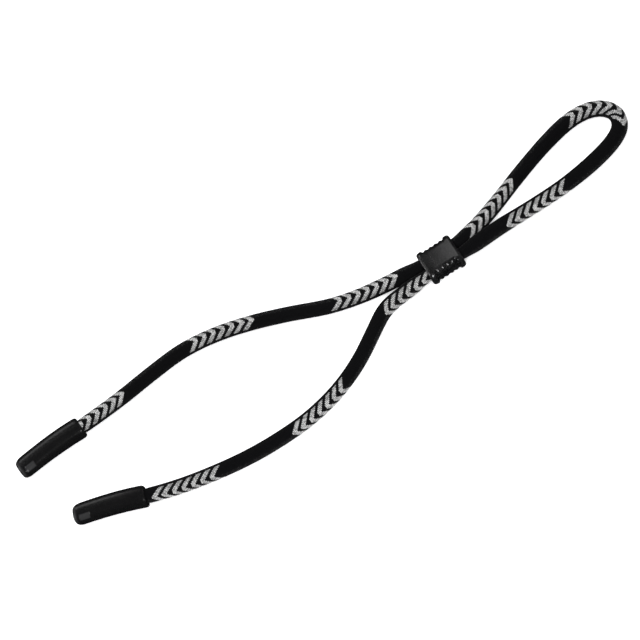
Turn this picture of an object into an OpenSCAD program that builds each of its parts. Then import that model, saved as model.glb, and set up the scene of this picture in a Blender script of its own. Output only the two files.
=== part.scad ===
// Eyeglass retainer strap: a soft round cord with a moulded sleeve at each end for a
// temple arm, and a ribbed slider that gathers the two strands into a loop.
// Millimetres. +X runs along the slider towards the loop, +Z is up, and the origin is
// the middle of the slider's underside. The strap lies on z = 0.

/* [Cord] */
// Diameter of the knitted cord where nothing squeezes it
cord_d = 7.1; // [6.4:0.1:7.1]
// Diameter of the filler yarn inside the cord
core_d = 3.4; // [2.4:0.2:3.6]
// Diameter of each strand where the slider squeezes it
neck_d = 5.4; // [4.8:0.1:5.4]
// Diameter of the cord's two ends inside their crimps
cord_end_d = 5.8; // [5.4:0.1:5.8]

/* [Slider] */
// Length of the slider along the strands
slider_len = 17.3; // [16:0.1:17.6]
// Width of the slider over its end lips
lip_w = 16.4; // [16:0.1:18]
// Width of the slider over its ribs
rib_w = 15; // [14:0.1:15.4]
// Depth of the finger grooves between the ribs
groove_depth = 0.4; // [0.2:0.1:0.6]
// Number of finger grooves on each narrow side
groove_count = 5; // [3:1:5]
// Thickness of the slider between its two smooth faces
slider_h = 9.6; // [9.2:0.1:10.4]

/* [Temple sleeves] */
// Length of a sleeve from its mouth to its tip
sleeve_len = 34.4; // [31:0.2:38]
// Width of a sleeve
sleeve_w = 9.6; // [9.4:0.1:10.6]
// Height of a sleeve at its mouth, where the cord goes in
mouth_h = 8.8; // [8.6:0.1:9.4]
// Height of a sleeve at its tip, where the temple arm goes in
tip_h = 7.4; // [7:0.1:8.4]
// Diameter of the blind bore that stretches over the temple arm
temple_bore_d = 4.6; // [3:0.2:5]
// Depth of the bore for the temple arm
temple_bore_depth = 20; // [14:1:21]
// Depth of the socket that holds the cord's end
socket_depth = 9; // [8.6:0.2:10]

/* [End crimps] */
// Length of the metal crimp on each end of the cord
crimp_len = 5; // [4:0.2:6]
// Outer diameter of the crimp
crimp_d = 6.8; // [6.4:0.1:6.8]

/* [Hidden] */

// Each sleeve's pose: x and y of the middle of its mouth, then its turn about Z
left_sleeve = [-177.1, 28.8, 2.7];
right_sleeve = [-168.3, -18.8, -19.7];

// The cord's route from the left sleeve, through the slider, round the loop, back
// through the slider and on to the right sleeve
free_route = [
    [-167, 29.4, 4.1], [-154, 30.6, 3.6], [-137, 32.6, 3.6], [-120, 33.7, 3.6],
    [-104, 31.5, 3.6], [-88, 26.8, 3.6], [-71, 19.9, 3.6], [-54, 12, 3.6],
    [-41, 8, 3.6], [-31, 6, 3.7], [-22, 4.5, 4.1], [-13, 3.4, 4.6], [-8, 2.9, 4.8],
    [8, 2.9, 4.8], [13.5, 3.3, 4.7], [21, 4.7, 4.2], [34, 9.2, 3.6],
    [51, 15.7, 3.6], [68, 21.4, 3.6], [82, 24.5, 3.6], [91, 24.3, 3.6],
    [98.3, 21.1, 3.6], [102.4, 14.6, 3.6], [100.4, 7.8, 3.6], [94.2, 3.8, 3.6],
    [82, 0.4, 3.6], [66, -1.7, 3.6], [48, -2, 3.6], [32, -1.6, 3.6],
    [21, -2.2, 4.2], [13.5, -2.8, 4.7], [8, -2.9, 4.8],
    [-8, -2.9, 4.8], [-13, -3.2, 4.6], [-22, -3.6, 4.1], [-33, -4.9, 3.6],
    [-43, -11.2, 3.6], [-56, -19.7, 3.6], [-71, -26.3, 3.6], [-87, -30, 3.6],
    [-103, -30.9, 3.6], [-120, -30, 3.6], [-137, -27.3, 3.6], [-152, -23.8, 3.6],
    [-162, -20.9, 4]
];
cord_sides = 10;
// Where the strands start to swell again, and how far from there to their full size
neck_reach = 9;
neck_ease = 13;

// The cord's end inside a sleeve, measured in from the mouth
cord_end_depth = 8.4;
crimp_start = 3;
crimp_gap = 0.05;
// Clearance between the filler and the sheath round it
core_gap = 0.2;
sheath_wall = (cord_d - core_d) / 2 - core_gap;
mouth_z = mouth_h / 2;
socket_d = 7;
socket_gap = 0.05;

rib_pitch = 2.6;
groove_w = 1.1;
face_r = 3.4;
// Clearance between the squeezed strands and the slider's channel
channel_gap = 0.35;
strand_y = 2.9;
channel_h = neck_d + 2 * channel_gap;
channel_w = 2 * strand_y + channel_h;

section_r = 3.4;
tip_corner_r = 3;
tip_chamfer = 1;
mouth_corner_r = 1;
// Where the sleeve's top starts to slope down, measured in from the mouth
slope_start = 8;
temple_bore_z = tip_h / 2;
// The shallow recess near the tip, on the shoulder that faces -Y
recess = [4.9, 2.6, 1];
recess_from_tip = 5.4;
recess_y = -3.7;
recess_from_top = 1.1;
recess_roll = 42;
small = 0.01;
$fn = 48;

function unit(v) = v / norm(v);
function ease(t) = let (u = min(max(t, 0), 1)) u * u * (3 - 2 * u);

// A point inside a sleeve, depth in from its mouth along its axis
function socket_point(pose, depth) = [
    pose[0] - depth * cos(pose[2]), pose[1] - depth * sin(pose[2]), mouth_z
];
function socket_points(pose) = [
    for (depth = [cord_end_depth, crimp_start - crimp_gap, 0]) socket_point(pose, depth)
];
function reversed(list) = [for (i = [len(list) - 1:-1:0]) list[i]];

route = concat(
    socket_points(left_sleeve), free_route, reversed(socket_points(right_sleeve))
);
last = len(route) - 1;

// The cord's diameter at a ring: narrow in its crimps and in the slider
function cord_d_at(i) =
    i < 2 || i > last - 2 ? cord_end_d :
    i == 2 || i == last - 2 ? socket_d - 2 * socket_gap :
    neck_d + (cord_d - neck_d) * ease((abs(route[i][0]) - neck_reach) / neck_ease);

function heading(i) = unit(route[min(i + 1, last)] - route[max(i - 1, 0)]);
function sideways(i) = unit(cross([0, 0, 1], heading(i)));
function upright(i) = cross(heading(i), sideways(i));
function ring(i, d) = [
    for (k = [0:cord_sides - 1])
        let (a = 360 * k / cord_sides)
        route[i] + d / 2 * (cos(a) * sideways(i) + sin(a) * upright(i))
];

// Faces between two stacks of rings; the first ring's points start at index base
function wall_faces(base, flip) = [
    for (i = [0:last - 1], k = [0:cord_sides - 1])
        let (
            next_k = (k + 1) % cord_sides,
            a = base + i * cord_sides + k,
            b = base + i * cord_sides + next_k,
            c = b + cord_sides,
            d = a + cord_sides
        )
        each flip ? [[a, b, c], [a, c, d]] : [[c, b, a], [d, c, a]]
];
// The flat rim that closes a hollow cord's end, between an outer and an inner ring
function rim_faces(outer, inner, flip) = [
    for (k = [0:cord_sides - 1])
        let (
            next_k = (k + 1) % cord_sides,
            a = outer + k,
            b = outer + next_k,
            c = inner + next_k,
            d = inner + k
        )
        each flip ? [[a, c, b], [a, d, c]] : [[b, c, a], [c, d, a]]
];
function cap_face(base, flip) = [
    [for (k = [0:cord_sides - 1]) base + (flip ? cord_sides - 1 - k : k)]
];
last_ring = last * cord_sides;
inner_start = (last + 1) * cord_sides;

// Squares and circles that add up to a rectangle with round corners
module round_rect(w, h, r) {
    square([w - 2 * r, h], center = true);
    square([w, h - 2 * r], center = true);
    for (x = [-1, 1], y = [-1, 1])
        translate([x * (w / 2 - r), y * (h / 2 - r)]) circle(r);
}

// Stands a flat outline across the strands and pulls it along X
module along_x(x, length) {
    translate([x, 0, 0]) rotate([90, 0, 90]) linear_extrude(length) children();
}

module cord_sheath() {
    color("#17171b") polyhedron(
        points = concat(
            [for (i = [0:last]) each ring(i, cord_d_at(i))],
            [for (i = [0:last]) each ring(i, cord_d_at(i) - 2 * sheath_wall)]
        ),
        faces = concat(
            wall_faces(0, false), wall_faces(inner_start, true),
            rim_faces(0, inner_start, false),
            rim_faces(last_ring, inner_start + last_ring, true)
        )
    );
}

module cord_core() {
    color("#3a3a40") polyhedron(
        points = [
            for (i = [0:last])
                each ring(i, cord_d_at(i) - 2 * (sheath_wall + core_gap))
        ],
        faces = concat(
            wall_faces(0, false), cap_face(0, false), cap_face(last_ring, true)
        )
    );
}

// A sleeve along X with the middle of its mouth over the origin and its tip at -X
module sleeve() {
    difference() {
        intersection() {
            along_x(-sleeve_len, sleeve_len)
                translate([0, mouth_z]) round_rect(sleeve_w, mouth_h, section_r);
            linear_extrude(mouth_h) sleeve_plan();
            translate([0, sleeve_w, 0]) rotate([90, 0, 0])
                linear_extrude(2 * sleeve_w) sleeve_side();
        }
        along_x(-socket_depth, socket_depth + small)
            translate([0, mouth_z]) circle(d = socket_d);
        along_x(-sleeve_len - small, temple_bore_depth + small)
            translate([0, temple_bore_z]) circle(d = temple_bore_d);
        translate([recess_from_tip - sleeve_len, recess_y, tip_h - recess_from_top])
            rotate([recess_roll, 0, 0]) cube(recess, center = true);
    }
}

// The sleeve seen from above: round corners, rounder at the tip than at the mouth
module sleeve_plan() {
    translate([-sleeve_len / 2 - mouth_corner_r, 0])
        round_rect(sleeve_len - 2 * mouth_corner_r, sleeve_w, tip_corner_r);
    translate([-sleeve_len / 4, 0])
        round_rect(sleeve_len / 2, sleeve_w, mouth_corner_r);
}

// The sleeve seen from its side: flat underneath, sloping down to the tip on top
module sleeve_side() {
    polygon([
        [0, 0], [0, mouth_h], [-slope_start, mouth_h],
        [-sleeve_len + tip_chamfer, tip_h], [-sleeve_len, tip_h - tip_chamfer],
        [-sleeve_len, tip_chamfer], [-sleeve_len + tip_chamfer, 0]
    ]);
}

module in_sleeve_pose(pose) {
    translate([pose[0], pose[1], 0]) rotate([0, 0, pose[2]]) children();
}

module temple_sleeve_left() {
    color("#202024") in_sleeve_pose(left_sleeve) sleeve();
}

module temple_sleeve_right() {
    color("#202024") in_sleeve_pose(right_sleeve) sleeve();
}

// A metal ring pressed round the cord's end, inside the sleeve's socket
module end_crimp() {
    along_x(-crimp_start - crimp_len, crimp_len) translate([0, mouth_z])
        difference() {
            circle(d = crimp_d);
            circle(d = cord_end_d + 2 * crimp_gap);
        }
}

module end_crimp_left() {
    color("silver") in_sleeve_pose(left_sleeve) end_crimp();
}

module end_crimp_right() {
    color("silver") in_sleeve_pose(right_sleeve) end_crimp();
}

// The slider's outline across the strands at width w, with its channel cut out
module slider_section(w, r) {
    translate([0, slider_h / 2]) difference() {
        round_rect(w, slider_h, r);
        square([channel_w - channel_h, channel_h], center = true);
        for (side = [-1, 1]) translate([side * (channel_w - channel_h) / 2, 0])
            circle(d = channel_h);
    }
}

module adjuster_slider() {
    grooves_len = (groove_count - 1) * rib_pitch + groove_w;
    lip_len = (slider_len - grooves_len) / 2;
    color("#2b2b30") union() {
        along_x(-slider_len / 2, slider_len)
            slider_section(rib_w - 2 * groove_depth, face_r - groove_depth);
        for (i = [1:groove_count - 1])
            along_x(-grooves_len / 2 + (i - 1) * rib_pitch + groove_w, rib_pitch - groove_w)
                slider_section(rib_w, face_r);
        along_x(-slider_len / 2, lip_len) slider_section(lip_w, face_r);
        along_x(slider_len / 2 - lip_len, lip_len) slider_section(lip_w, face_r);
    }
}

cord_sheath();
cord_core();
temple_sleeve_left();
temple_sleeve_right();
end_crimp_left();
end_crimp_right();
adjuster_slider();
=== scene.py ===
"""Eyeglass retainer strap: a knitted black cord with a pale woven pattern, a rubber sleeve
for a temple arm at each end, and a ribbed slider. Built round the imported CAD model, in
metres: +X runs along the slider towards the loop, and the strap lies on z = 0."""

import math

import bpy
import numpy as np
from mathutils import Matrix, Vector


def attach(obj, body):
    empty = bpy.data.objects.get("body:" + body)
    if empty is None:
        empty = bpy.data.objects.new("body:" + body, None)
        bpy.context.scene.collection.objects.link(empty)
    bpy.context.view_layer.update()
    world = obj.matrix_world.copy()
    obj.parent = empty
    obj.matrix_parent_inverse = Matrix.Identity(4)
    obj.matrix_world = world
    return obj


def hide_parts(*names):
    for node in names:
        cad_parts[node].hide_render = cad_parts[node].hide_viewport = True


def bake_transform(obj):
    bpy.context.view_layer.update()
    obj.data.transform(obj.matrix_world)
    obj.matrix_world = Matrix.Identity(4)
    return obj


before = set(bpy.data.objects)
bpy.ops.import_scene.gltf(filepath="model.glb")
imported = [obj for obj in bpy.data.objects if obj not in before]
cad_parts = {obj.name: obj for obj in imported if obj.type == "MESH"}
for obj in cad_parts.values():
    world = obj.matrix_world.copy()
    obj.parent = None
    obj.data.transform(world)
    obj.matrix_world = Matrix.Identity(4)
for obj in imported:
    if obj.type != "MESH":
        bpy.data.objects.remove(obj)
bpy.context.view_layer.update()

MM = 0.001  # lengths are named in millimetres, and turned into metres with this

# ---------------------------------------------------------------- camera and stage

VIEW_CENTRE = Vector((-60.4, 7.9, 4.8)) * MM
VIEW_ELEVATION = math.radians(62)
VIEW_ROLL = math.radians(33)
VIEW_WIDTH = 288 * MM  # what the picture takes in at the view's centre
LENS_MM = 250
SENSOR_MM = 36


def link(name, data):
    """A new object for this data, in the scene."""
    made = bpy.data.objects.new(name, data)
    bpy.context.scene.collection.objects.link(made)
    return made


def make_camera():
    """A long lens well back, so parallel edges stay parallel, rolled about its own axis."""
    data = bpy.data.cameras.new("camera")
    data.lens, data.sensor_width = LENS_MM, SENSOR_MM
    camera = link("camera", data)
    away = Vector((0, -math.cos(VIEW_ELEVATION), math.sin(VIEW_ELEVATION)))
    across = Vector((1, 0, 0))
    upward = away.cross(across)
    right = math.cos(VIEW_ROLL) * across - math.sin(VIEW_ROLL) * upward
    up = math.sin(VIEW_ROLL) * across + math.cos(VIEW_ROLL) * upward
    distance = VIEW_WIDTH * LENS_MM / SENSOR_MM
    turn = Matrix((right, up, away)).transposed().to_4x4()
    camera.matrix_world = Matrix.Translation(VIEW_CENTRE + distance * away) @ turn
    bpy.context.scene.camera = camera


SLIDER_PLACE = Vector((0, 0, 4.8)) * MM
SLEEVES_PLACE = Vector((-190, 0, 4.4)) * MM

# Each lamp's name, what it faces, the direction from there to the lamp, its distance and its
# size in metres, its power in watts, and whether it leaves a highlight
LAMPS = [
    ("fill_lamp", VIEW_CENTRE, (0.05, -0.15, 1), 1.9, 2.2, 62, False),
    ("side_lamp", VIEW_CENTRE, (-0.84, 0.3, 0.45), 1.2, 0.4, 2.2, True),
    ("panel_lamp", SLIDER_PLACE, (0.29, 0.45, 0.845), 0.4, 0.18, 0.09, True),
    ("rib_lamp", SLIDER_PLACE, (-0.3, -0.63, 0.7), 0.35, 0.08, 0.42, True),
    ("sleeve_lamp", SLEEVES_PLACE, (-0.12, 0.73, 0.68), 0.5, 0.12, 0.21, True),
]


def softbox(name, aim, direction, distance, size, power, shines):
    """A square lamp. One that doesn't shine lights things evenly, with no highlight."""
    data = bpy.data.lights.new(name, "AREA")
    data.shape, data.size, data.energy = "SQUARE", size, power
    lamp = link(name, data)
    lamp.visible_glossy = shines
    lamp.visible_camera = False
    away = Vector(direction).normalized()
    lamp.matrix_world = (
        Matrix.Translation(aim + distance * away)
        @ away.to_track_quat("Z", "Y").to_matrix().to_4x4()
    )


def make_world():
    """Pale where the camera sees it, and dim as a source of light."""
    world = bpy.data.worlds.new("studio")
    world.use_nodes = True
    bpy.context.scene.world = world
    nodes, links = world.node_tree.nodes, world.node_tree.links
    nodes.clear()
    seen, lit = nodes.new("ShaderNodeBackground"), nodes.new("ShaderNodeBackground")
    seen.inputs["Color"].default_value = (0.97, 0.97, 0.97, 1)
    lit.inputs["Color"].default_value = (0.02, 0.02, 0.0205, 1)
    rays, mix = nodes.new("ShaderNodeLightPath"), nodes.new("ShaderNodeMixShader")
    out = nodes.new("ShaderNodeOutputWorld")
    links.new(rays.outputs["Is Camera Ray"], mix.inputs["Fac"])
    links.new(lit.outputs["Background"], mix.inputs[1])
    links.new(seen.outputs["Background"], mix.inputs[2])
    links.new(mix.outputs["Shader"], out.inputs["Surface"])


FLOOR_SIZE = 12.0  # metres


def make_stage():
    bpy.context.scene.view_settings.view_transform = "Standard"
    make_world()
    for lamp in LAMPS:
        softbox(*lamp)
    half = FLOOR_SIZE / 2
    mesh = bpy.data.meshes.new("floor")
    corners = [(-half, -half, 0), (half, -half, 0), (half, half, 0), (-half, half, 0)]
    mesh.from_pydata(corners, [], [(0, 1, 2, 3)])
    mesh.materials.append(floor_material())
    floor = link("floor", mesh)
    floor.visible_glossy = False  # so that it doesn't wash out the black sides


# ---------------------------------------------------------------- material helpers


# The Mix node's sockets when it mixes colours
MIX_FIRST, MIX_SECOND, MIX_RESULT = 6, 7, 2


class Shader:
    """A node material under construction, with one Principled shader. Sockets are named
    with _ for each space."""

    def __init__(self, name):
        self.material = bpy.data.materials.new(name)
        self.material.use_nodes = True
        self.tree = self.material.node_tree
        self.surface = self.tree.nodes["Principled BSDF"]

    def set(self, **values):
        for socket, value in values.items():
            self.surface.inputs[socket.replace("_", " ")].default_value = value

    def node(self, kind, **values):
        made = self.tree.nodes.new("ShaderNode" + kind)
        for socket, value in values.items():
            made.inputs[socket.replace("_", " ")].default_value = value
        return made

    def join(self, output, target):
        self.tree.links.new(output, target)

    def noise(self, scale, detail=2.0, stretch=None):
        """Soft random values over the object's own space; stretch scales each axis."""
        made = self.node("TexNoise", Scale=scale, Detail=detail)
        where = self.node("TexCoord").outputs["Object"]
        if stretch is not None:
            mapping = self.node("Mapping", Scale=stretch)
            self.join(where, mapping.inputs["Vector"])
            where = mapping.outputs["Vector"]
        self.join(where, made.inputs["Vector"])
        return made.outputs["Fac"]

    def ramp(self, value, low, high, start=0.0, end=1.0):
        """Maps value from start..end onto low..high."""
        made = self.node("MapRange", From_Min=start, From_Max=end, To_Min=low, To_Max=high)
        self.join(value, made.inputs["Value"])
        return made.outputs["Result"]

    def blend(self, factor, first, second):
        """A colour between two; each is a colour or another node's output."""
        made = self.tree.nodes.new("ShaderNodeMix")
        made.data_type = "RGBA"
        self.join(factor, made.inputs["Factor"])
        for socket, colour in ((MIX_FIRST, first), (MIX_SECOND, second)):
            if isinstance(colour, tuple):
                made.inputs[socket].default_value = (*colour, 1)
            else:
                self.join(colour, made.inputs[socket])
        return made.outputs[MIX_RESULT]

    def attribute(self, name):
        made = self.node("Attribute")
        made.attribute_name = name
        return made.outputs["Fac"]

    def bump(self, *heights):
        """Each height is (value, depth in metres); they add up on the surface's normal."""
        normal = None
        for value, depth in heights:
            made = self.node("Bump", Strength=1.0, Distance=depth)
            self.join(value, made.inputs["Height"])
            if normal is not None:
                self.join(normal, made.inputs["Normal"])
            normal = made.outputs["Normal"]
        self.join(normal, self.surface.inputs["Normal"])


def floor_material():
    shader = Shader("floor")
    shader.set(Roughness=0.9, Specular_IOR_Level=0.1)
    shader.set(Emission_Color=(1, 1, 1, 1), Emission_Strength=0.5)
    tone = shader.blend(shader.noise(3.0), (0.86, 0.86, 0.865), (0.88, 0.88, 0.88))
    shader.join(tone, shader.surface.inputs["Base Color"])
    return shader.material


# ---------------------------------------------------------------- mesh helpers


def ease(t):
    """0 below 0, 1 above 1, and a smooth step between."""
    t = np.clip(t, 0.0, 1.0)
    return t * t * (3 - 2 * t)


def grid_faces(rows, columns):
    """Quads over rows of points that each close on themselves."""
    row, column = np.meshgrid(np.arange(rows - 1), np.arange(columns), indexing="ij")
    across = (column + 1) % columns
    a, b = row * columns + column, row * columns + across
    return np.stack([a, b, b + columns, a + columns], axis=-1).reshape(-1, 4)


def make_piece(name, points, faces, material):
    """A smooth-shaded object from points in millimetres."""
    mesh = bpy.data.meshes.new(name)
    corners = (points.reshape(-1, 3) * MM).tolist()
    mesh.from_pydata(corners, [], [list(map(int, face)) for face in faces])
    mesh.polygons.foreach_set("use_smooth", [True] * len(mesh.polygons))
    mesh.materials.append(material)
    mesh.update()
    return link(name, mesh)


def mark(piece, name, domain, values):
    """Stores one number for each face or point, for the material to read."""
    attribute = piece.data.attributes.new(name, "FLOAT", domain)
    attribute.data.foreach_set("value", np.asarray(values, np.float32).ravel())


# ---------------------------------------------------------------- the cord's route

# x and y of the middle of each sleeve's mouth, then its turn about Z in degrees
LEFT_SLEEVE = (-177.1, 28.8, 2.7)
RIGHT_SLEEVE = (-168.3, -18.8, -19.7)
MOUTH_Z = 4.4
CORD_END_DEPTH = 8.4

# The route in millimetres, from the left sleeve through the slider, round the loop, back
# through the slider and on to the right sleeve
FREE_ROUTE = [
    (-167, 29.4, 4.1), (-154, 30.6, 3.6), (-137, 32.6, 3.6), (-120, 33.7, 3.6),
    (-104, 31.5, 3.6), (-88, 26.8, 3.6), (-71, 19.9, 3.6), (-54, 12, 3.6),
    (-41, 8, 3.6), (-31, 6, 3.7), (-22, 4.5, 4.1), (-13, 3.4, 4.6), (-8, 2.9, 4.8),
    (8, 2.9, 4.8), (13.5, 3.3, 4.7), (21, 4.7, 4.2), (34, 9.2, 3.6),
    (51, 15.7, 3.6), (68, 21.4, 3.6), (82, 24.5, 3.6), (91, 24.3, 3.6),
    (98.3, 21.1, 3.6), (102.4, 14.6, 3.6), (100.4, 7.8, 3.6), (94.2, 3.8, 3.6),
    (82, 0.4, 3.6), (66, -1.7, 3.6), (48, -2, 3.6), (32, -1.6, 3.6),
    (21, -2.2, 4.2), (13.5, -2.8, 4.7), (8, -2.9, 4.8),
    (-8, -2.9, 4.8), (-13, -3.2, 4.6), (-22, -3.6, 4.1), (-33, -4.9, 3.6),
    (-43, -11.2, 3.6), (-56, -19.7, 3.6), (-71, -26.3, 3.6), (-87, -30, 3.6),
    (-103, -30.9, 3.6), (-120, -30, 3.6), (-137, -27.3, 3.6), (-152, -23.8, 3.6),
    (-162, -20.9, 4),
]

CORD_D = 7.1
NECK_D = 5.7  # inside the slider
CORD_END_D = 5.8  # inside a sleeve
# Where the strands start to swell beside the slider, and over how far they do so
NECK_REACH = 8.0
NECK_EASE = 11.0
# The squeezed cord stands a little fatter just outside the slider
BULGE = 0.3
BULGE_REACH = 30.0
BULGE_EASE = 14.0
# and fatter again round the loop's end, where it bends most
LOOP_BULGE = 0.45
LOOP_BULGE_FROM = 58.0
LOOP_BULGE_EASE = 25.0
# Where the cord starts to swell inside a sleeve, measured from its end
CRIMP_REACH = 5.4
CRIMP_EASE = 5.0

FINE_STEP = 0.25  # between the points of the centre line
SOFTEN_REACH = 10  # points on each side that a running average takes in
SOFTEN_PASSES = 3


def socket_point(pose, depth):
    """A point on a sleeve's axis, this deep inside its mouth."""
    turn = math.radians(pose[2])
    return (pose[0] - depth * math.cos(turn), pose[1] - depth * math.sin(turn), MOUTH_Z)


def route_points():
    depths = (CORD_END_DEPTH, CORD_END_DEPTH / 2, 0)
    first = [socket_point(LEFT_SLEEVE, depth) for depth in depths]
    last = [socket_point(RIGHT_SLEEVE, depth) for depth in reversed(depths)]
    return np.array(first + FREE_ROUTE + last, float)


def curve_through(points):
    """A smooth curve through the points (centripetal Catmull-Rom)."""
    before, after = 2 * points[0] - points[1], 2 * points[-1] - points[-2]
    pad_painted_reflection, pieces = np.vstack([before, points, after]), []
    for p0, p1, p2, p3 in zip(pad_painted_reflection, pad_painted_reflection[1:], pad_painted_reflection[2:], pad_painted_reflection[3:]):
        t1 = np.linalg.norm(p1 - p0) ** 0.5
        t2 = t1 + np.linalg.norm(p2 - p1) ** 0.5
        t3 = t2 + np.linalg.norm(p3 - p2) ** 0.5
        count = max(2, int(np.linalg.norm(p2 - p1) / FINE_STEP))
        t = np.linspace(t1, t2, count, endpoint=False)[:, None]
        a1 = (t1 - t) / t1 * p0 + t / t1 * p1
        a2 = (t2 - t) / (t2 - t1) * p1 + (t - t1) / (t2 - t1) * p2
        a3 = (t3 - t) / (t3 - t2) * p2 + (t - t2) / (t3 - t2) * p3
        b1 = (t2 - t) / t2 * a1 + t / t2 * a2
        b2 = (t3 - t) / (t3 - t1) * a2 + (t - t1) / (t3 - t1) * a3
        pieces.append((t2 - t) / (t2 - t1) * b1 + (t - t1) / (t2 - t1) * b2)
    return np.vstack([*pieces, points[-1:]])


def evenly(line, step):
    """The line again, with points a step apart, and how far along each one is."""
    lengths = np.linalg.norm(np.diff(line, axis=0), axis=1)
    along = np.concatenate([[0], np.cumsum(lengths)])
    at = np.linspace(0, along[-1], int(along[-1] / step) + 1)
    return np.stack([np.interp(at, along, line[:, k]) for k in range(3)], axis=1), at


def softened(line):
    """The line with its corners eased by running averages; its ends stay put."""
    width = 2 * SOFTEN_REACH + 1
    for _ in range(SOFTEN_PASSES):
        before = 2 * line[0] - line[SOFTEN_REACH:0:-1]
        after = 2 * line[-1] - line[-2 : -SOFTEN_REACH - 2 : -1]
        pad_painted_reflection = np.vstack([before, line, after])
        window = np.ones(width) / width
        line = np.stack([np.convolve(pad_painted_reflection[:, k], window, "valid") for k in range(3)], 1)
    return line


def unit(vectors):
    return vectors / np.linalg.norm(vectors, axis=-1, keepdims=True)


class Cord:
    """The cord's centre line with its own directions: heading, outward and upright."""

    def __init__(self):
        line, _ = evenly(curve_through(route_points()), FINE_STEP)
        self.line, self.along = evenly(softened(line), FINE_STEP)
        self.length = self.along[-1]
        self.heading = unit(np.gradient(self.line, axis=0))
        self.outward = unit(np.cross([0, 0, 1], self.heading))
        self.upright = np.cross(self.heading, self.outward)
        from_end = np.minimum(self.along, self.length - self.along)
        from_slider = np.abs(self.line[:, 0])
        neck = ease((from_slider - NECK_REACH) / NECK_EASE)
        free_d = CORD_D + BULGE * ease((BULGE_REACH - from_slider) / BULGE_EASE + 1)
        free_d += LOOP_BULGE * ease((self.line[:, 0] - LOOP_BULGE_FROM) / LOOP_BULGE_EASE)
        crimped = ease((from_end - CRIMP_REACH) / CRIMP_EASE)
        self.diameter = np.minimum(
            NECK_D + (free_d - NECK_D) * neck, CORD_END_D + (free_d - CORD_END_D) * crimped
        )

    def at(self, values, along):
        """One of the arrays above, read at these lengths along the cord."""
        if values.ndim == 1:
            return np.interp(along, self.along, values)
        parts = [np.interp(along, self.along, values[:, k]) for k in range(3)]
        return np.stack(parts, axis=-1)

    def crossings(self):
        """How far along the cord passes the middle of the slider, there and back."""
        x = self.line[:, 0]
        return self.along[:-1][(x[:-1] < 0) != (x[1:] < 0)]


# ---------------------------------------------------------------- the knitted sheath

COURSE = 0.643  # one row of stitches along the cord
WALES = 36  # stitches round the cord
COLUMNS = 2 * WALES
STITCH_RELIEF = 0.16  # depth of the gap between a stitch and the next one round
COURSE_RELIEF = 0.10  # depth of the gap between a stitch and the next one along
STITCH_SLANT = 0.3  # how far a stitch's middle leads its edges, in courses

BAND_WALES = 14  # height of the woven band
BAND_OUTWARD = 23  # degrees that the band leans outward from the side facing the viewer
BAND_LEAN = 28  # degrees that it leans towards -Y
GROUP_START = -1  # first course of the first group of arrowheads
GROUP_EVERY = 107  # courses from the start of one group to the start of the next
ARROWS = 7  # arrowheads in a group
ARROW_EVERY = 7
ARROW_COURSES = 3.3  # how much of that an arrowhead's arm takes up
ARROW_SLOPE = 0.95  # how far an arrowhead's arms trail, in courses for each wale
BAND_FADE = 0.48  # how much less pale the band's inner edge is than its outer one

DULLEST = 0.35  # how pale the dullest stitch of the pale yarn is; the palest is 1
FLECK = 0.08  # how much of the pale yarn peeps through where it floats behind
FLOAT_GAP = 3  # wales behind the band that it leaves quite black
FLOAT_WALES = 6  # how many of the band's own wales it still shows in, fading out
SCATTER = (12.9898, 78.233, 43758.5453)  # any numbers do that share no pattern


def scatter(course, wale):
    """A number from 0 to 1 that looks random but is always the same for a stitch."""
    value = math.sin(course * SCATTER[0] + wale * SCATTER[1]) * SCATTER[2]
    return value - math.floor(value)


def pale_stitch(course, wale):
    """Whether this stitch is of the pale yarn: the woven band has groups of arrowheads, one
    behind another, that point along the cord."""
    middle = (BAND_WALES - 1) / 2
    arms = ARROW_SLOPE * (middle - abs(wale - middle))
    place = (course - GROUP_START) % GROUP_EVERY - arms
    in_group = wale < BAND_WALES and 0 <= place < ARROWS * ARROW_EVERY
    return in_group and place % ARROW_EVERY < ARROW_COURSES


def yarn_of(course, wale):
    """How pale a stitch is: 1 is the pale yarn and 0 the black. Where the pale yarn floats
    behind black stitches, on the back and along the band's outer side, it peeps through."""
    chance = scatter(course, wale)
    if pale_stitch(course, wale):
        return (DULLEST + (1 - DULLEST) * chance) * (1 - BAND_FADE * wale / BAND_WALES)
    if (course + wale) % 2 == 0:
        if wale >= BAND_WALES + FLOAT_GAP:
            return FLECK * chance
        if wale < FLOAT_WALES:
            return FLECK * chance * (1 - wale / (FLOAT_WALES + 1))
    return 0.0


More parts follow.
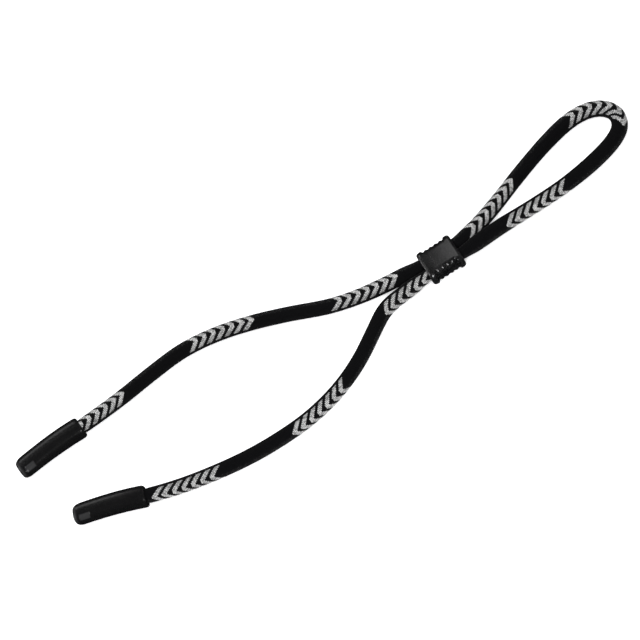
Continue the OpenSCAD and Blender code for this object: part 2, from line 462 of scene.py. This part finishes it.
def cord_piece(cord, name, start, end, material):
    """The sheath between two lengths along the cord: a raised stitch for each course and
    wale, with two rows and two columns of points to a stitch."""
    first, last = round(start / COURSE), round(end / COURSE)
    rows = np.arange(2 * first, 2 * last + 1)
    columns = np.arange(COLUMNS)
    ridge = columns % 2
    along = (rows[:, None] / 2 + STITCH_SLANT * ridge[None, :]) * COURSE
    along = np.clip(along, 0, cord.length)
    lean = BAND_OUTWARD - BAND_LEAN * cord.at(cord.outward, along)[..., 1]
    degrees = lean + (BAND_WALES - columns[None, :]) * 360 / COLUMNS
    angle = np.radians(degrees)[..., None]
    middle = (rows % 2)[:, None]
    relief = STITCH_RELIEF * (ridge[None, :] - 1) + COURSE_RELIEF * (middle - 1)
    radius = (cord.at(cord.diameter, along) / 2 + relief)[..., None]
    points = cord.at(cord.line, along) + radius * (
        np.cos(angle) * cord.at(cord.upright, along)
        + np.sin(angle) * cord.at(cord.outward, along)
    )
    points[..., 2] = np.maximum(points[..., 2], 0.0)
    faces = grid_faces(len(rows), COLUMNS)
    piece = make_piece(name, points, faces, material)
    stitches = {(c, w): yarn_of(c, w) for c in range(first, last) for w in range(WALES)}
    stitch_of_face = [(row // 2, k // 2) for row in rows[:-1].tolist() for k in range(COLUMNS)]
    mark(piece, "pale_yarn", "FACE", [stitches[stitch] for stitch in stitch_of_face])
    # The stitches' height, which the material reads to paint shade into the gaps
    mark(piece, "stitch_height", "POINT", (ridge[None, :] + middle) / 2)
    path = cord.at(cord.line, np.arange(first, last + 1) * COURSE) * MM
    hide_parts("cord_sheath", "cord_core")
    return piece


def yarn_material():
    shader = Shader("knitted_yarn")
    shader.set(Roughness=0.9, Specular_IOR_Level=0.04, Sheen_Weight=0.012, Sheen_Roughness=0.6)
    soft = shader.noise(900.0, detail=3.0)
    black = shader.blend(soft, (0.0022, 0.0022, 0.0025), (0.0046, 0.0046, 0.005))
    white = shader.blend(soft, (0.66, 0.66, 0.655), (0.96, 0.96, 0.955))
    yarn = shader.blend(shader.attribute("pale_yarn"), black, white)
    # Painted shade: the gaps between stitches are coloured darker than the stitches, on top of
    # their relief
    lit = shader.ramp(shader.attribute("stitch_height"), 0.0, 1.0, start=0.1, end=0.7)
    tone = shader.blend(lit, (0.0018, 0.0018, 0.002), yarn)
    shader.join(tone, shader.surface.inputs["Base Color"])
    shader.bump((soft, 0.00012), (shader.noise(6000.0, detail=4.0), 0.00005))
    return shader.material


# ---------------------------------------------------------------- the slider

SLIDER_LEN = 17.3
LIP_W = 16.4
RIB_W = 15.0
SLIDER_H = 9.6
PANEL_CROWN = 0.3  # how far the two wide faces curve away from their middle to each end
FACE_R = 3.4
END_ROUND = 1.7  # how far in from each end the wide faces are rounded off
END_DROP = 0.8
END_BREAK = 0.3  # how sharply that rounding starts, from 0 to 1
EAR_ROUND = 1.5  # how far in from each end the narrow sides are rounded off
EAR_DROP = 1.3
EAR_FROM = 4.9  # where the lips start to rise, measured from the slider's middle
EAR_RISE = 1.2
MOUTH_FILLET = 0.45
GROOVES = 5
RIB_PITCH = 2.55
GROOVE_DEPTH = 0.4
GROOVE_START = 5.6  # the smooth face ends here and the grooves start
GROOVE_RAMP = 0.35
CHANNEL_H = 6.1
CHANNEL_W = 11.9
SLIDER_SIDES = 160  # points round it
SLIDER_STEP = 0.12  # between the rings along its outside
MOUTH_RINGS = 6
CHANNEL_RINGS = 8
END_RINGS = 14
HAIR = 0.001  # leaves a half-round outline a trace of its flat sides


def rounded_outline(half_w, half_h, radius, count):
    """Points round a rectangle with round corners, evenly spaced, from the +Y side."""
    flat_w, flat_h, arc = half_w - radius, half_h - radius, radius * math.pi / 2
    sides = [flat_h, arc, 2 * flat_w, arc, 2 * flat_h, arc, 2 * flat_w, arc, flat_h]
    ends = np.cumsum(sides)
    points = []
    for s in np.arange(count) * ends[-1] / count:
        side = int(np.searchsorted(ends, s, side="right"))
        t = s - (ends[side - 1] if side else 0)
        if side in (0, 4, 8):
            sign = -1 if side == 4 else 1
            z = (t if side == 0 else t - flat_h) * sign
            points.append((sign * half_w, z))
        elif side in (2, 6):
            sign = 1 if side == 2 else -1
            points.append((sign * (flat_w - t), sign * half_h))
        else:
            corner = {1: (1, 1, 0), 3: (-1, 1, 90), 5: (-1, -1, 180), 7: (1, -1, 270)}[side]
            angle = math.radians(corner[2]) + t / radius
            y = corner[0] * flat_w + radius * math.cos(angle)
            points.append((y, corner[1] * flat_h + radius * math.sin(angle)))
    return np.array(points)


def fillet(from_end, reach, drop):
    """How far a rounded edge has dropped back this far from the end: drop at the end itself,
    and nothing once past its reach."""
    t = np.clip(1 - np.asarray(from_end) / reach, 0, 1)
    return drop * (1 - np.sqrt(1 - t * t))


def groove_at(x):
    """1 in the middle of a finger groove and 0 on a rib."""
    if abs(x) > GROOVES * RIB_PITCH / 2:
        return 0.0
    middle = (GROOVES - 1) / 2 * RIB_PITCH
    return (1 + math.cos(2 * math.pi * (x - middle) / RIB_PITCH)) / 2


def slider_outline(x):
    """The slider's outer section at x, with its grooves pressed into both narrow sides."""
    from_end = SLIDER_LEN / 2 - abs(x)
    ear = float(ease((abs(x) - EAR_FROM) / EAR_RISE))
    half_w = (RIB_W + (LIP_W - RIB_W) * ear) / 2 - float(fillet(from_end, EAR_ROUND, EAR_DROP))
    broken = max(0.0, 1 - from_end / END_ROUND)
    rounding = float(fillet(from_end, END_ROUND, END_DROP))
    end_drop = END_BREAK * END_DROP * broken + (1 - END_BREAK) * rounding
    half_h = SLIDER_H / 2 - end_drop - PANEL_CROWN * (2 * x / SLIDER_LEN) ** 2
    radius = FACE_R - end_drop
    outline = rounded_outline(half_w, half_h, radius, SLIDER_SIDES)
    corner = (half_w - radius, half_h - radius)
    inner = np.clip(outline, np.negative(corner), corner)
    away = unit(outline - inner + 1e-9 * outline)  # never of no length, even where flat
    pressed = ease((np.abs(outline[:, 0]) - GROOVE_START) / GROOVE_RAMP)
    return outline - away * (GROOVE_DEPTH * groove_at(x) * pressed)[:, None]


def channel_outline(grow):
    """The channel for the two strands, that much larger all round."""
    half_w, half_h = CHANNEL_W / 2 + grow, CHANNEL_H / 2 + grow
    return rounded_outline(half_w, half_h, half_h - HAIR, SLIDER_SIDES)


def slider_loops():
    """Rings from the middle of the channel out to +X, back over the outside, and in again."""
    half = SLIDER_LEN / 2
    mouth = [
        (half - MOUTH_FILLET * (1 - math.sin(t)), MOUTH_FILLET * (1 - math.cos(t)))
        for t in np.linspace(0, math.pi / 2, MOUTH_RINGS)
    ]
    inside = [(x, 0.0) for x in np.linspace(0, half - MOUTH_FILLET, CHANNEL_RINGS)[:-1]]
    channel = [(x, channel_outline(grow)) for x, grow in inside + mouth]
    end_turns = np.linspace(0, math.pi / 2, END_RINGS)
    fillet_x = [half - END_ROUND * (1 - math.cos(t)) for t in end_turns]
    straight = half - END_ROUND
    count = int(2 * straight / SLIDER_STEP)
    outside_x = fillet_x + list(np.linspace(straight, -straight, count)[1:-1])
    outside_x += [-x for x in reversed(fillet_x)]
    outside = [(x, slider_outline(x)) for x in outside_x]
    back = [(-x, outline) for x, outline in reversed(channel)]
    return channel + outside + back[:-1]


def make_slider(material):
    loops = slider_loops()
    outlines = np.array([outline for _, outline in loops])
    along = np.array([x for x, _ in loops])[:, None] * np.ones(SLIDER_SIDES)
    points = np.stack([along, outlines[..., 0], outlines[..., 1] + SLIDER_H / 2], axis=-1)
    faces = grid_faces(len(loops), SLIDER_SIDES).tolist()
    # The last ring meets the first one again inside the channel
    last = (len(loops) - 1) * SLIDER_SIDES
    for k in range(SLIDER_SIDES):
        beside = (k + 1) % SLIDER_SIDES
        faces.append([last + k, last + beside, beside, k])
    piece = make_piece("slider_body", points, faces, material)
    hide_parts("adjuster_slider")
    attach(piece, "slider")


def slider_material():
    shader = Shader("slider_plastic")
    shader.set(Specular_IOR_Level=1.0)
    cloud = shader.noise(170.0, detail=3.0)
    streak = shader.noise(210.0, detail=4.0, stretch=(1.0, 0.45, 1.0))
    patchy = shader.ramp(streak, 0.0, 1.0, start=0.36, end=0.66)
    tone = shader.blend(patchy, (0.002, 0.002, 0.0022), (0.011, 0.011, 0.0113))
    shader.join(tone, shader.surface.inputs["Base Color"])
    gloss = shader.ramp(cloud, 0.19, 0.3, start=0.35, end=0.65)
    shader.join(gloss, shader.surface.inputs["Roughness"])
    shader.bump((shader.noise(260.0), 0.00003), (shader.noise(7000.0), 0.00001))
    return shader.material


# ---------------------------------------------------------------- the temple sleeves

SLEEVE_LEN = 34.4
SLEEVE_SIDES = 144  # points round it
SLEEVE_STEP = 0.25  # between the rings along its outside
SLEEVE_HALF_W = 4.9
MOUTH_H = 8.8
TIP_H = 7.4
SLOPE_START = 3.0  # where its top starts to slope down, measured from the mouth
SECTION_POWER = 2.8  # 2 is an oval section, and more is squarer
SLEEVE_BOW = 0.75  # how far its middle stands towards +Y from its two ends
TIP_ROUND_W = 4.0
TIP_DROP_W = 2.3
TIP_ROUND_H = 2.2
TIP_DROP_H = 1.1
MOUTH_ROUND = 1.5
MOUTH_DROP_W = 0.85
MOUTH_DROP_H = 0.45
PIT_R = 0.05  # a blind end closes with a face of this radius
BORE_R = 2.3
BORE_FLOOR_R = 1.2
BORE_DEPTH = 20.0
BORE_FILLET = 0.15
BORE_RINGS = 8
SOCKET_R = 3.5
SOCKET_DEPTH = 9.0
SOCKET_FILLET = 0.3
SOCKET_RINGS = 3
OUTSIDE_MARGIN = 0.1  # a ring this much larger than the socket's mouth is on the outside
FILLET_RINGS = 5
TIP_RINGS = 14
PAD_FROM_TIP = 5.4
PAD_LEN = 4.9
PAD_ANGLE = 45  # degrees up from the -Y side to the pad's middle
PAD_SPREAD = 17  # degrees from its middle to its edge
PAD_EDGE = 0.5  # how far its edge takes to step down along the sleeve
PAD_EDGE_SPREAD = 6  # and round it, in degrees
PAD_DEPTH = 0.3
TIP_HIGHLIGHT_REACH = 2.2  # how far from its tip the rubber is painted paler: a painted highlight where the rounded tip catches light


def ring(half_w, half_h, power=2):
    """Points round an oval, squared off where power is over 2, from its +Y side."""
    angle = np.linspace(0, 2 * math.pi, SLEEVE_SIDES, endpoint=False)
    c, s = np.cos(angle), np.sin(angle)
    reach = (np.abs(c / half_w) ** power + np.abs(s / half_h) ** power) ** (-1 / power)
    return np.stack([reach * c, reach * s], axis=1)


def sleeve_section(x):
    """The outer section this far from the mouth (negative towards the tip), and its middle's
    height."""
    from_tip, from_mouth = SLEEVE_LEN + x, -x
    slope = ease((from_mouth - SLOPE_START) / (SLEEVE_LEN - SLOPE_START))
    height = MOUTH_H - (MOUTH_H - TIP_H) * slope
    half_w = SLEEVE_HALF_W - fillet(from_tip, TIP_ROUND_W, TIP_DROP_W)
    half_h = height / 2 - fillet(from_tip, TIP_ROUND_H, TIP_DROP_H)
    half_w -= fillet(from_mouth, MOUTH_ROUND, MOUTH_DROP_W)
    half_h -= fillet(from_mouth, MOUTH_ROUND, MOUTH_DROP_H)
    return ring(half_w, half_h, SECTION_POWER), height / 2


def sleeve_rows():
    """Rings from the temple bore's blind end, out, over the sleeve and into the socket. Each
    one is its x from the mouth, its outline and its middle's height."""
    rows = []
    turns = np.linspace(0, math.pi / 2, FILLET_RINGS)
    tip_z, mouth_z = TIP_H / 2, MOUTH_H / 2
    bore_floor = BORE_DEPTH - SLEEVE_LEN
    for radius in (PIT_R, BORE_FLOOR_R, BORE_R):
        rows.append((bore_floor, ring(radius, radius), tip_z))
    for x in np.linspace(bore_floor, -SLEEVE_LEN + BORE_FILLET, BORE_RINGS)[1:-1]:
        rows.append((x, ring(BORE_R, BORE_R), tip_z))
    for t in turns:
        radius = BORE_R + BORE_FILLET * (1 - math.cos(t))
        x = -SLEEVE_LEN + BORE_FILLET * (1 - math.sin(t))
        rows.append((x, ring(radius, radius), tip_z))
    rounding = TIP_ROUND_W * (1 - np.cos(np.linspace(0, math.pi / 2, TIP_RINGS)[1:]))
    tip_x = list(-SLEEVE_LEN + rounding)
    count = int((SLEEVE_LEN - TIP_ROUND_W - MOUTH_ROUND) / SLEEVE_STEP)
    body_x = list(np.linspace(tip_x[-1], -MOUTH_ROUND, count)[1:])
    mouth_x = [-MOUTH_ROUND * (1 - math.sin(t)) for t in turns[1:]]
    for x in [-SLEEVE_LEN, *tip_x, *body_x, *mouth_x]:
        section, z = sleeve_section(x)
        rows.append((x, section, z))
    for t in reversed(turns):
        radius = SOCKET_R + SOCKET_FILLET * (1 - math.cos(t))
        x = -SOCKET_FILLET * (1 - math.sin(t))
        rows.append((x, ring(radius, radius), mouth_z))
    for k in range(1, SOCKET_RINGS + 1):
        rows.append((-SOCKET_DEPTH * k / SOCKET_RINGS, ring(SOCKET_R, SOCKET_R), mouth_z))
    rows.append((-SOCKET_DEPTH, ring(PIT_R, PIT_R), mouth_z))
    return rows


def make_sleeve(name, pose, node, material):
    rows = sleeve_rows()
    axial = np.array([x for x, _, _ in rows])[:, None] * np.ones(SLEEVE_SIDES)
    sections = np.array([section for _, section, _ in rows])
    middle = np.array([z for _, _, z in rows])[:, None]
    reach = np.max(np.abs(sections), axis=(1, 2))[:, None]
    outside = reach > SOCKET_R + SOCKET_FILLET + OUTSIDE_MARGIN
    angle = np.degrees(np.arctan2(sections[..., 1], -sections[..., 0]))
    from_pad = np.abs(axial + SLEEVE_LEN - PAD_FROM_TIP)
    in_length = ease((PAD_LEN / 2 - from_pad) / PAD_EDGE + 0.5)
    in_spread = ease((PAD_SPREAD - np.abs(angle - PAD_ANGLE)) / PAD_EDGE_SPREAD + 0.5)
    pad = in_length * in_spread * outside
    sections = sections - PAD_DEPTH * pad[..., None] * unit(sections)
    bow = SLEEVE_BOW * (1 - (2 * axial / SLEEVE_LEN + 1) ** 2)
    points = np.stack([axial, sections[..., 0] + bow, sections[..., 1] + middle], axis=-1)
    faces = grid_faces(len(rows), SLEEVE_SIDES).tolist()
    # The blind ends of the bore and of the socket
    faces.append(list(range(SLEEVE_SIDES))[::-1])
    last = (len(rows) - 1) * SLEEVE_SIDES
    faces.append(list(range(last, last + SLEEVE_SIDES)))
    piece = make_piece(name, points, faces, material)
    mark(piece, "pad", "POINT", pad)
    # Painted highlight: the rubber is coloured paler towards the tip, standing in for light on
    # the rounded end
    painted_tip_highlight = ease((TIP_HIGHLIGHT_REACH - axial - SLEEVE_LEN) / TIP_HIGHLIGHT_REACH) * outside
    mark(piece, "painted_tip_highlight", "POINT", painted_tip_highlight)
    turn = Matrix.Rotation(math.radians(pose[2]), 4, "Z")
    piece.data.transform(Matrix.Translation(Vector((pose[0], pose[1], 0)) * MM) @ turn)
    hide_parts(node)
    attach(piece, "strap")


def rubber_material():
    shader = Shader("sleeve_rubber")
    shader.set(Specular_IOR_Level=0.25)
    cloud = shader.noise(180.0, detail=3.0)
    rubber = shader.blend(cloud, (0.0038, 0.0038, 0.004), (0.0056, 0.0056, 0.0058))
    pad = shader.attribute("pad")
    # Painted reflection: the pad's recess is coloured paler, standing in for light that its
    # floor catches
    pad_painted_reflection = shader.blend(pad, rubber, (0.023, 0.023, 0.0235))
    # Painted highlight: paler rubber towards the tip
    tone = shader.blend(shader.attribute("painted_tip_highlight"), pad_painted_reflection, (0.045, 0.045, 0.0455))
    shader.join(tone, shader.surface.inputs["Base Color"])
    shader.join(shader.ramp(cloud, 0.22, 0.3), shader.surface.inputs["Roughness"])
    shader.bump((shader.noise(900.0), 0.00002), (shader.noise(5000.0), 0.000012))
    return shader.material


def crimp_material():
    shader = Shader("crimp_metal")
    shader.set(Metallic=1.0)
    brushed = shader.noise(2500.0, stretch=(0.2, 1, 1))
    tone = shader.blend(brushed, (0.52, 0.52, 0.53), (0.7, 0.7, 0.71))
    shader.join(tone, shader.surface.inputs["Base Color"])
    shader.join(shader.ramp(brushed, 0.25, 0.45), shader.surface.inputs["Roughness"])
    return shader.material


# ---------------------------------------------------------------- put it together

# Places along X: beside the slider, out by the sleeves, and past the loop's end. make_cord
# pairs them with its pieces, but nothing reads them.
WITH_SLIDER = 12.0
STRAND_FIXED = -166.0
LOOP_FIXED = 150.0


def make_cord():
    cord = Cord()
    there, back = cord.crossings()
    yarn = yarn_material()
    left = cord_piece(cord, "cord_left_strand", 0, there, yarn)
    loop = cord_piece(cord, "cord_loop", there, back, yarn)
    right = cord_piece(cord, "cord_right_strand", back, cord.length, yarn)
    for piece, fixed, moving in (
        (left, STRAND_FIXED, -WITH_SLIDER),
        (loop, LOOP_FIXED, WITH_SLIDER),
        (right, STRAND_FIXED, -WITH_SLIDER),
    ):
        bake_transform(piece)


make_camera()
make_cord()
make_stage()
make_slider(slider_material())
rubber = rubber_material()
make_sleeve("sleeve_left", LEFT_SLEEVE, "temple_sleeve_left", rubber)
make_sleeve("sleeve_right", RIGHT_SLEEVE, "temple_sleeve_right", rubber)
crimp = crimp_material()
for side in ("left", "right"):
    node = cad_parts["end_crimp_" + side]
    node.data.materials.clear()
    node.data.materials.append(crimp)
